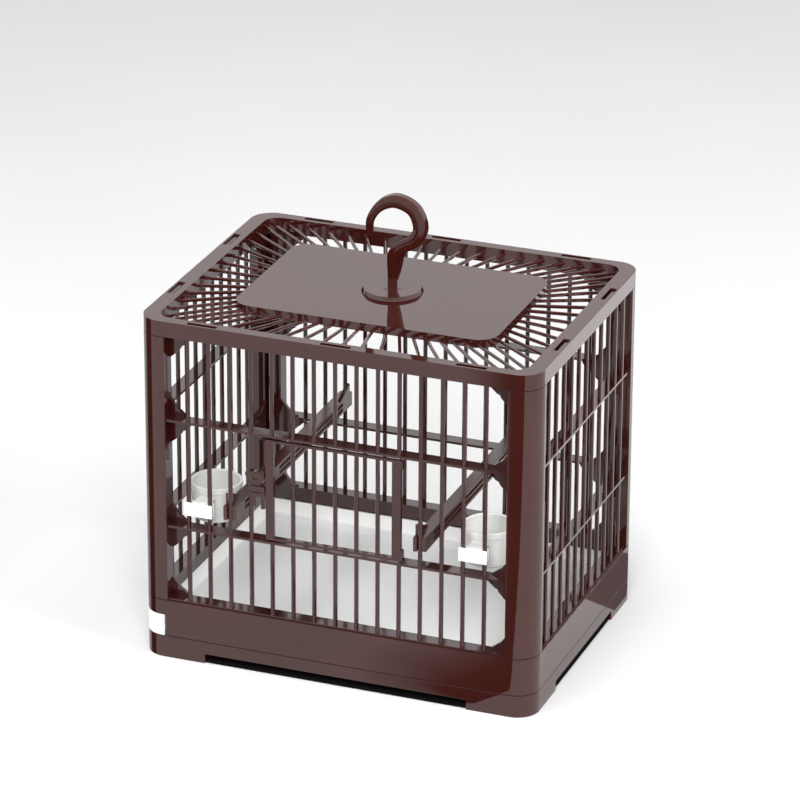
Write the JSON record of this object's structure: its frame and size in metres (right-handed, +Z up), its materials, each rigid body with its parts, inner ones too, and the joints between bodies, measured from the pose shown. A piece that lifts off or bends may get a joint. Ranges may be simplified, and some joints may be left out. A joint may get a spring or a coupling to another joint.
{
  "type": "bird travel carrier cage",
  "caption": "Barred plastic bird carrier cage with a hinged door, slide-out tray, clip-on cups and perches, and a swivel carrying hook on the roof.",
  "frame": {"origin": "centre of the cage's footprint, on the surface that its feet stand on", "axes": "+X to the right seen from the door side, -Y is the front with the door and the cups, +Z up to the hook; the white tray front is at -X"},
  "size_m": [0.32, 0.243, 0.3595],
  "materials": {
    "brown_gloss": "high gloss moulded plastic, dark brown",
    "white_tray": "smooth moulded plastic, white",
    "white_cup": "thin smooth moulded plastic, white, slightly translucent"
  },
  "bodies": {
    "cage": {"roof_frame": "brown_gloss", "corner_post_front_left": "brown_gloss", "corner_post_front_right": "brown_gloss", "corner_post_back_left": "brown_gloss", "corner_post_back_right": "brown_gloss", "front_panel": "brown_gloss", "back_panel": "brown_gloss", "left_panel": "brown_gloss", "right_panel": "brown_gloss", "latch_pin": "brown_gloss", "door_hinge_pins": "brown_gloss", "base_frame": "brown_gloss", "base_pan": "brown_gloss"},
    "hook": {"carry_hook": "brown_gloss", "hook_flange": "brown_gloss", "hook_retainer": "brown_gloss"},
    "door_leaf": {"door": "brown_gloss"},
    "latch": {"door_latch": "brown_gloss"},
    "tray": {"drawer_tray": "white_tray"},
    "left_cup": {"cup_left": "white_cup"},
    "right_cup": {"cup_right": "white_cup"},
    "left_perch": {"perch_left": "brown_gloss"},
    "right_perch": {"perch_right": "brown_gloss"}
  },
  "joints": [
    {"name": "hook_swivel", "type": "hinge", "parent": "cage", "child": "hook", "pos_m": [0, 0, 0.28], "axis": [0, 0, 1], "continuous": true},
    {"name": "door_hinge", "type": "hinge", "parent": "cage", "child": "door_leaf", "pos_m": [0.0526, -0.1183, 0.155], "axis": [0, 0, 1], "range_deg": [0, 115]},
    {"name": "latch_turn", "type": "hinge", "parent": "cage", "child": "latch", "pos_m": [-0.064, -0.1205, 0.1634], "axis": [0, 1, 0], "range_deg": [0, 155]},
    {"name": "tray_slide", "type": "slide", "parent": "cage", "child": "tray", "axis": [-1, 0, 0], "range_m": [0, 0.28]},
    {"name": "cup_left_slide", "type": "slide", "parent": "cage", "child": "left_cup", "axis": [0, 0, 1], "range_m": [-0.011, 0.058]},
    {"name": "cup_right_slide", "type": "slide", "parent": "cage", "child": "right_cup", "axis": [0, 0, 1], "range_m": [-0.011, 0.058]},
    {"name": "perch_left_slide", "type": "slide", "parent": "cage", "child": "left_perch", "axis": [0, 0, 1], "range_m": [-0.012, 0.05]},
    {"name": "perch_right_slide", "type": "slide", "parent": "cage", "child": "right_perch", "axis": [0, 0, 1], "range_m": [-0.012, 0.05]}
  ]
}
